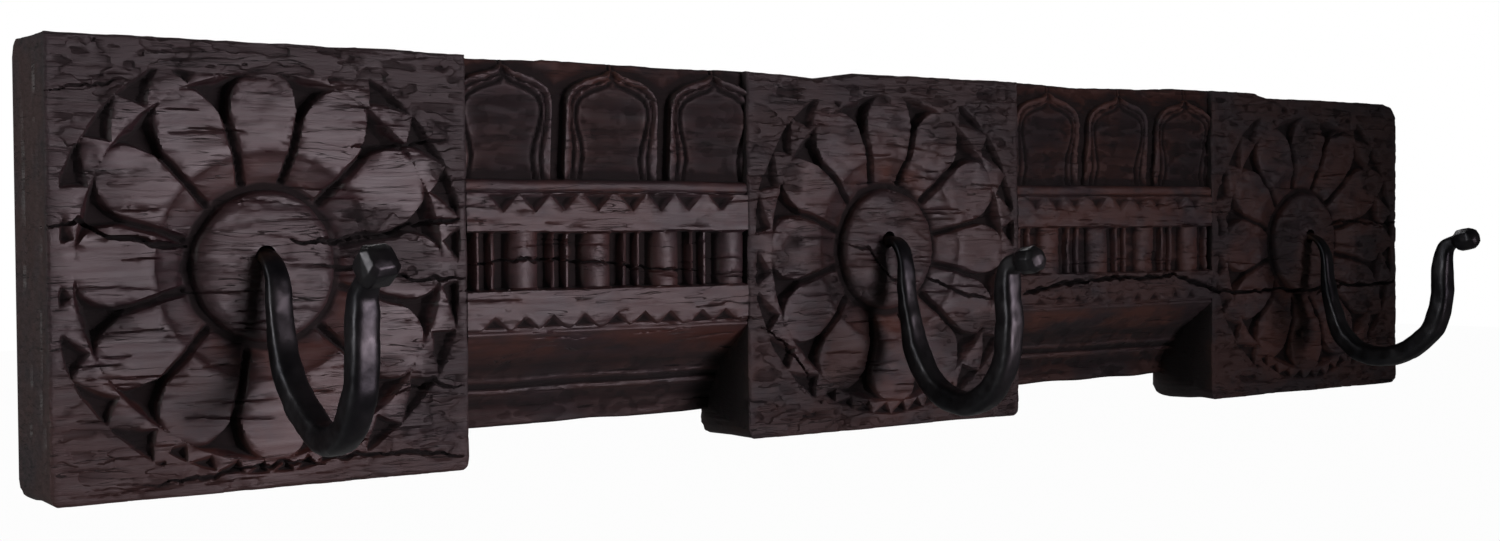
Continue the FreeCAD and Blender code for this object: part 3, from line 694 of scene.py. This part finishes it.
# painted shade: hollows, the arch row, the cove and the side walls go near black, with a little dirt
base = blend(wood, sums(wood, "MULTIPLY", shade_and_grime, 0.9), base, (0.006, 0.004, 0.004))
base = blend(wood, sums(wood, "MULTIPLY", grain.outputs["Check"], 0.9), base, (0.003, 0.002, 0.002))
wood.links.new(base, skin.inputs["Base Color"])
dull = sums(wood, "ADD", sums(wood, "MULTIPLY", shade_and_grime, 0.55), sums(wood, "MULTIPLY", raw, 0.16))
dull = sums(wood, "ADD", dull, sums(wood, "MULTIPLY", worn, 0.16))
wood.links.new(sums(wood, "ADD", spread(wood, streaky, 0.3, 0.75, 0.38, 0.52), dull, clamp=True),
               skin.inputs["Roughness"])
height = sums(wood, "MULTIPLY", grain.outputs["Height"], spread(wood, raw, 0.0, 1.0, 0.2, 0.85))
bump = node(wood, "ShaderNodeBump", {"Height": height, "Strength": 0.8, "Distance": 0.0012})
wood.links.new(bump.outputs[0], skin.inputs["Normal"])
board.data.materials.clear()
board.data.materials.append(timber)

# ---------------------------------------------------------------------------------------
# Hooks
# Three J hooks, each drawn out of round iron bar by hand: the neck is hammered flat where
# it turns into the timber, the tip is upset to a faceted knob. A threaded tail runs
# through the board to a washer and nut behind.
# ---------------------------------------------------------------------------------------

# centre line as (reach from the front, height, half width, half thickness)
FORGED = {
    "hook_left": [(-26, 4.5, 3.9, 3.9), (-9, 4.5, 3.9, 3.9), (-2, 4.4, 4.1, 2.8),
                  (5, 2, 4.9, 2.5), (10.5, -6, 5.3, 2.8), (12.8, -22, 5.8, 4.4),
                  (16.5, -38, 6.2, 5.6), (27, -53, 6.4, 6.2), (44, -65, 6.4, 6.4),
                  (62, -71.3, 6.4, 6.4), (78, -66.5, 6.4, 6.4), (88.5, -53, 6.5, 6.4),
                  (92.3, -36, 6.5, 6.5), (92.4, -18, 6.3, 6.2), (94.5, -9.5, 5.6, 5.2),
                  (100, -3.6, 4.8, 4.4), (104, -1.5, 4.4, 4.2)],
    "hook_middle": [(-26, 8, 3.9, 3.9), (-9, 8, 3.9, 3.9), (-2, 8, 4.1, 2.8),
                    (6, 6.2, 4.9, 2.5), (11.6, -2, 5.2, 2.7), (13, -20, 5.4, 3.8),
                    (16.3, -36, 5.9, 5.0), (21.5, -54, 6.3, 6.0), (35, -70.5, 6.4, 6.4),
                    (58, -79, 6.4, 6.4), (77, -72, 6.4, 6.4), (88, -56, 6.5, 6.4),
                    (91.2, -36, 6.5, 6.4), (90, -16, 6.2, 6.0), (91.8, -7, 5.4, 5.0),
                    (98.5, -2.7, 4.6, 4.3), (103, -2.2, 4.2, 4.0)],
    "hook_right": [(-26, 6.5, 3.9, 3.9), (-9, 6.5, 3.9, 3.9), (-2, 6.5, 4.1, 2.6),
                   (5.5, 3.8, 4.4, 2.2), (11, -4, 4.6, 2.4), (13.5, -26, 5.2, 3.8),
                   (17.5, -43, 5.8, 5.0), (25.5, -60, 6.2, 5.8), (38, -69, 6.4, 6.2),
                   (55, -71.4, 6.4, 6.4), (75, -66, 6.4, 6.4), (91, -52.5, 6.4, 6.3),
                   (97.6, -34, 6.4, 6.3), (98.3, -12, 6.0, 5.8), (101, -1, 5.0, 4.6),
                   (108, 3.6, 4.2, 3.8), (112, 4.3, 3.9, 3.7)],
}
KNOB_BACK, KNOB_DROP = 3.7, 1.0        # how far the knob is driven over the end of the bar
# half width, half height, length, slope outwards and roll in degrees, bevel in radians, seed
KNOBS = {
    "hook_left": (9.0, 9.0, 14.5, 34, 8, 0.24, 3),
    "hook_middle": (7.4, 7.2, 14.0, 6, 22, 0.36, 5),
    "hook_right": (7.0, 7.1, 14.0, 10, 40, 0.39, 8),
}


# how wide the knob is along its length, both as shares
KNOB_OUTLINE = ((-0.12, 0.5), (0.12, 0.95), (0.42, 1.0), (0.75, 0.98), (0.94, 0.74), (1.02, 0.36))


def drawn_bar():
    """Bar swept along its centre line, wider or thinner from point to point, then hammered."""
    tree = bpy.data.node_groups.new("drawn iron bar", "GeometryNodeTree")
    face = tree.interface
    face.new_socket("Geometry", in_out="INPUT", socket_type="NodeSocketGeometry")
    for label, kind, value in (("Points Along", "Int", 170), ("Sides", "Int", 40),
                               ("Squareness", "Float", 3.3), ("Hammering", "Float", 0.0005),
                               ("Seed", "Float", 0.0)):
        s = face.new_socket(label, in_out="INPUT", socket_type="NodeSocket" + kind)
        s.default_value = value
    face.new_socket("Material", in_out="INPUT", socket_type="NodeSocketMaterial")
    face.new_socket("Geometry", in_out="OUTPUT", socket_type="NodeSocketGeometry")
    gin, gout = tree.nodes.new("NodeGroupInput"), tree.nodes.new("NodeGroupOutput")
    line = node(tree, "GeometryNodeMeshToCurve", {"Mesh": gin.outputs["Geometry"]})
    line = node(tree, "GeometryNodeResampleCurve", {"Curve": line.outputs[0],
                                                    "Count": gin.outputs["Points Along"]})
    spot = node(tree, "GeometryNodeInputPosition").outputs[0]
    keep = tree.nodes.new("GeometryNodeCaptureAttribute")
    keep.capture_items.new("VECTOR", "Spine")
    tree.links.new(line.outputs[0], keep.inputs["Geometry"])
    tree.links.new(spot, keep.inputs["Spine"])
    ring = node(tree, "GeometryNodeCurvePrimitiveCircle", {"Resolution": gin.outputs["Sides"],
                                                           "Radius": 1.0})
    tube = node(tree, "GeometryNodeCurveToMesh", {"Curve": keep.outputs["Geometry"],
                                                  "Profile Curve": ring.outputs[0],
                                                  "Fill Caps": True})
    off = node(tree, "ShaderNodeVectorMath", {0: spot, 1: keep.outputs["Spine"]},
               operation="SUBTRACT").outputs[0]
    side = node(tree, "ShaderNodeSeparateXYZ", {0: off}).outputs[0]
    lateral = node(tree, "ShaderNodeCombineXYZ", {"X": side}).outputs[0]
    other = node(tree, "ShaderNodeVectorMath", {0: off, 1: lateral}, operation="SUBTRACT").outputs[0]
    rise = node(tree, "ShaderNodeVectorMath", {0: other}, operation="LENGTH").outputs["Value"]
    power = gin.outputs["Squareness"]
    total = sums(tree, "ADD", sums(tree, "POWER", sums(tree, "ABSOLUTE", side), power),
                 sums(tree, "POWER", rise, power))
    swell = sums(tree, "POWER", total, sums(tree, "DIVIDE", -1.0, power))
    wide = node(tree, "GeometryNodeInputNamedAttribute", {"Name": "wide"}, data_type="FLOAT")
    thin = node(tree, "GeometryNodeInputNamedAttribute", {"Name": "thin"}, data_type="FLOAT")
    a = node(tree, "ShaderNodeVectorMath", {0: lateral, "Scale": sums(
        tree, "MULTIPLY", swell, wide.outputs[0])}, operation="SCALE").outputs[0]
    b = node(tree, "ShaderNodeVectorMath", {0: other, "Scale": sums(
        tree, "MULTIPLY", swell, thin.outputs[0])}, operation="SCALE").outputs[0]
    place = node(tree, "ShaderNodeVectorMath", {0: a, 1: b}, operation="ADD").outputs[0]
    place = node(tree, "ShaderNodeVectorMath", {0: place, 1: keep.outputs["Spine"]},
                 operation="ADD").outputs[0]
    shaped = node(tree, "GeometryNodeSetPosition", {"Geometry": tube.outputs[0], "Position": place})
    marks = node(tree, "ShaderNodeTexNoise", {"W": gin.outputs["Seed"], "Scale": 95.0,
                                              "Detail": 1.0, "Roughness": 0.4},
                 noise_dimensions="4D").outputs["Fac"]
    push = sums(tree, "MULTIPLY", sums(tree, "SUBTRACT", marks, 0.56), gin.outputs["Hammering"])
    push = sums(tree, "MULTIPLY", push, 4.0)
    out = node(tree, "ShaderNodeVectorMath", {0: node(tree, "GeometryNodeInputNormal").outputs[0],
                                              "Scale": push}, operation="SCALE").outputs[0]
    beaten = node(tree, "GeometryNodeSetPosition", {"Geometry": shaped.outputs[0], "Offset": out})
    real = node(tree, "GeometryNodeRealizeInstances", {"Geometry": beaten.outputs[0]})
    done = node(tree, "GeometryNodeSetMaterial", {"Geometry": real.outputs[0],
                                                  "Material": gin.outputs["Material"]})
    tree.links.new(done.outputs[0], gout.inputs[0])
    return tree


def set_input(modifier, label, value):
    """Sets one named input of a Geometry Nodes modifier."""
    for item in modifier.node_group.interface.items_tree:
        if item.name == label and item.in_out == "INPUT":
            modifier[item.identifier] = value


def smooth_path(rows, steps=10):
    """Even curve through the centre-line points, carrying width and thickness along."""
    p = np.array(rows, float)
    p = np.vstack([2 * p[0] - p[1], p, 2 * p[-1] - p[-2]])
    out = []
    for i in range(1, len(p) - 2):
        knots = [0.0]
        for a in range(3):
            gap = np.linalg.norm((p[i + a] - p[i + a - 1])[:2])
            knots.append(knots[-1] + math.sqrt(gap))
        t0, t1, t2, t3 = knots
        for s in range(steps):
            t = t1 + (t2 - t1) * s / steps
            a1 = (t1 - t) / (t1 - t0) * p[i - 1] + (t - t0) / (t1 - t0) * p[i]
            a2 = (t2 - t) / (t2 - t1) * p[i] + (t - t1) / (t2 - t1) * p[i + 1]
            a3 = (t3 - t) / (t3 - t2) * p[i + 1] + (t - t2) / (t3 - t2) * p[i + 2]
            b1 = (t2 - t) / (t2 - t0) * a1 + (t - t0) / (t2 - t0) * a2
            b2 = (t3 - t) / (t3 - t1) * a2 + (t - t1) / (t3 - t1) * a3
            out.append((t2 - t) / (t2 - t1) * b1 + (t - t1) / (t2 - t1) * b2)
    out.append(p[-2])
    return np.array(out)


def knob_block(name, x, reach, z):
    """Blunt block with hammered-off corners, its axis sloping outwards and up."""
    half_w, half_h, long, slope, roll, bevel, seed = KNOBS[name]
    rng = np.random.default_rng(seed)
    tilt, twist = math.radians(slope), math.radians(roll)
    pts = []
    for along, size in KNOB_OUTLINE:
        for i in range(8):
            a = math.pi / 4 + math.pi / 2 * (i // 2) + (i % 2 * 2 - 1) * bevel + rng.uniform(-0.06, 0.06)
            corner = 1.0 + rng.uniform(-0.03, 0.03)
            c, s = math.cos(a) * size * corner, math.sin(a) * size * corner
            u = half_w * (c * math.cos(twist) - s * math.sin(twist))
            v = half_h * (c * math.sin(twist) + s * math.cos(twist))
            w = long * along + rng.uniform(-0.3, 0.3)
            pts.append((x + u, -THICK - reach - w * math.cos(tilt) + v * math.sin(tilt),
                        z + w * math.sin(tilt) + v * math.cos(tilt)))
    bm = bmesh.new()
    for p in pts:
        bm.verts.new([c * MM for c in p])
    found = bmesh.ops.convex_hull(bm, input=bm.verts)
    inside = list(set(found["geom_interior"] + found["geom_unused"]))
    bmesh.ops.delete(bm, geom=inside, context="VERTS")
    return bm


iron, metal, coat = material("black forged iron", Metallic=0.85, Specular_IOR_Level=0.5)
bar_tree = drawn_bar()
for (hook_name, rows), (x, z) in zip(FORGED.items(), HOOK_SPOTS):
    path = smooth_path(rows)
    line = bpy.data.meshes.new(hook_name + " line")
    line.from_pydata([(x * MM, -(THICK + p[0]) * MM, p[1] * MM) for p in path],
                     [(i, i + 1) for i in range(len(path) - 1)], [])
    for word, column in (("wide", 2), ("thin", 3)):
        line.attributes.new(word, "FLOAT", "POINT").data.foreach_set(
            "value", (path[:, column] * MM).astype(np.float32))
    bar = bpy.data.objects.new(hook_name + "_forged", line)
    bpy.context.scene.collection.objects.link(bar)
    sweep = bar.modifiers.new("drawn bar", "NODES")
    sweep.node_group = bar_tree
    set_input(sweep, "Seed", KNOBS[hook_name][6] * 1.7)
    set_input(sweep, "Material", iron)
    settle(bar)
    bm = knob_block(hook_name, x, rows[-1][0] - KNOB_BACK, rows[-1][1] - KNOB_DROP)
    bm.from_mesh(bar.data)
    bmesh.ops.recalc_face_normals(bm, faces=bm.faces)
    bm.to_mesh(bar.data)
    bm.free()
    weld = bar.modifiers.new("forge welded", "REMESH")
    weld.mode, weld.voxel_size = "VOXEL", 0.00048
    soft = bar.modifiers.new("scale and wear", "SMOOTH")
    soft.factor, soft.iterations = 0.5, 2
    few = bar.modifiers.new("fewer faces", "DECIMATE")
    few.ratio = 0.3
    settle(bar)
    bar.data.materials.clear()
    bar.data.materials.append(iron)
    bar.data.shade_smooth()
    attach(bar, "root")
    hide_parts(hook_name)

place = node(metal, "ShaderNodeTexCoord").outputs["Object"]
scale_marks = noise(metal, place, 160, 5, 0.6)
cloud = noise(metal, place, 42, 3, 0.5)
fine = noise(metal, place, 900, 3, 0.6)
tint = blend(metal, spread(metal, cloud, 0.35, 0.65), (0.024, 0.024, 0.028), (0.055, 0.053, 0.057))
near_hole = node(metal, "ShaderNodeSeparateXYZ", {0: place}).outputs[1]
rust = sums(metal, "MULTIPLY", spread(metal, near_hole, -0.053, -0.045),
            spread(metal, scale_marks, 0.35, 0.6), clamp=True)
tint = blend(metal, rust, tint, (0.085, 0.048, 0.032))
metal.links.new(tint, coat.inputs["Base Color"])
metal.links.new(spread(metal, sums(metal, "ADD", scale_marks, sums(metal, "MULTIPLY", rust, 0.5)),
                       0.3, 0.8, 0.28, 0.52), coat.inputs["Roughness"])
relief = sums(metal, "ADD", sums(metal, "MULTIPLY", scale_marks, 0.8), sums(metal, "MULTIPLY", fine, 0.2))
bump = node(metal, "ShaderNodeBump", {"Height": relief, "Strength": 0.35, "Distance": 0.0005})
metal.links.new(bump.outputs[0], coat.inputs["Normal"])

# ---------------------------------------------------------------------------------------
# Washers, nuts, hanger plates and their screws
# Plain zinc-plated steel hardware on the back: a round washer and hexagon nut on each
# hook's threaded tail, and two round-ended keyhole plates let in flush and screwed down.
# ---------------------------------------------------------------------------------------

zinc, plated, plating = material("zinc plated steel", Metallic=1.0)
place = node(plated, "ShaderNodeTexCoord").outputs["Object"]
spangle = noise(plated, place, 260, 4, 0.6)
plated.links.new(blend(plated, spread(plated, spangle, 0.35, 0.65), (0.42, 0.42, 0.43), (0.60, 0.60, 0.60)),
                 plating.inputs["Base Color"])
plated.links.new(spread(plated, spangle, 0.3, 0.7, 0.30, 0.44), plating.inputs["Roughness"])
for name in ("hook_washers", "hook_nuts", "hanger_left", "hanger_right", "hanger_screws"):
    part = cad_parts[name]
    part.data.materials.clear()
    part.data.materials.append(zinc)

# ---------------------------------------------------------------------------------------
# Floor, light and camera
# ---------------------------------------------------------------------------------------

bpy.ops.mesh.primitive_plane_add(size=24, location=(0, 0, -0.75))
floor = bpy.context.object
floor.name = "floor"
pale, pale_tree, pale_shader = material("pale floor", Roughness=0.9)
pale_shader.inputs["Base Color"].default_value = (0.3, 0.3, 0.3, 1)
floor.data.materials.append(pale)

# the studio sweep is blown out to white, while the rack itself is lit softly
bpy.context.scene.view_settings.view_transform = "Standard"
world = bpy.data.worlds.new("studio")
bpy.context.scene.world = world
world.use_nodes = True
sky = world.node_tree
fill = sky.nodes["Background"]
fill.inputs[0].default_value = (1, 1, 1, 1)
fill.inputs[1].default_value = 0.03
white = node(sky, "ShaderNodeBackground", {"Strength": 1.0})
white.inputs[0].default_value = (1, 1, 1, 1)
seen = node(sky, "ShaderNodeLightPath").outputs["Is Camera Ray"]
both = node(sky, "ShaderNodeMixShader", {0: seen, 1: fill.outputs[0], 2: white.outputs[0]})
sky.links.new(both.outputs[0], sky.nodes["World Output"].inputs[0])
glow = node(pale_tree, "ShaderNodeEmission", {"Strength": 0.98})
seen = node(pale_tree, "ShaderNodeLightPath").outputs["Is Camera Ray"]
both = node(pale_tree, "ShaderNodeMixShader", {0: seen, 1: pale_shader.outputs[0], 2: glow.outputs[0]})
pale_tree.links.new(both.outputs[0], pale_tree.nodes["Material Output"].inputs[0])


def soft_light(name, spot, aim, size, power, spread_angle=180, tint=(1, 1, 1)):
    """A softbox that faces its aim; a small spread angle keeps its light off the far end."""
    lamp = bpy.data.lights.new(name, "AREA")
    lamp.shape, lamp.size, lamp.size_y, lamp.energy = "RECTANGLE", size[0], size[1], power
    lamp.spread, lamp.color = math.radians(spread_angle), tint
    obj = bpy.data.objects.new(name, lamp)
    obj.location = spot
    obj.rotation_euler = (Vector(aim) - Vector(spot)).to_track_quat("-Z", "Y").to_euler()
    bpy.context.scene.collection.objects.link(obj)


soft_light("key", (0.40, -1.7, -0.1), (-0.52, 0, 0), (1.15, 1.1), 2.6, 48, (1.0, 0.84, 0.915))
soft_light("left fill", (-2.3, 0.1, 0.5), (-0.4, 0, 0), (1.0, 1.4), 20)
soft_light("back fill", (0.5, 1.9, 1.2), (0, 0, 0), (1.6, 1.2), 26)

camera = bpy.data.objects.new("camera", bpy.data.cameras.new("camera"))
bpy.context.scene.collection.objects.link(camera)
bpy.context.scene.camera = camera
camera.data.lens = 45.6
camera.data.sensor_width = 36.0
camera.data.clip_start, camera.data.clip_end = 0.01, 100
yaw, pitch, roll = (math.radians(a) for a in (37.27, -1.273, -0.458))
ahead = Vector((math.sin(yaw) * math.cos(pitch), math.cos(yaw) * math.cos(pitch), math.sin(pitch)))
level = Vector((math.cos(yaw), -math.sin(yaw), 0))
upright = level.cross(ahead)
right = level * math.cos(roll) + upright * math.sin(roll)
up = upright * math.cos(roll) - level * math.sin(roll)
camera.matrix_world = Matrix(((right.x, up.x, -ahead.x, -0.7051), (right.y, up.y, -ahead.y, -0.8305),
                                 (right.z, up.z, -ahead.z, 0.0148), (0, 0, 0, 1)))
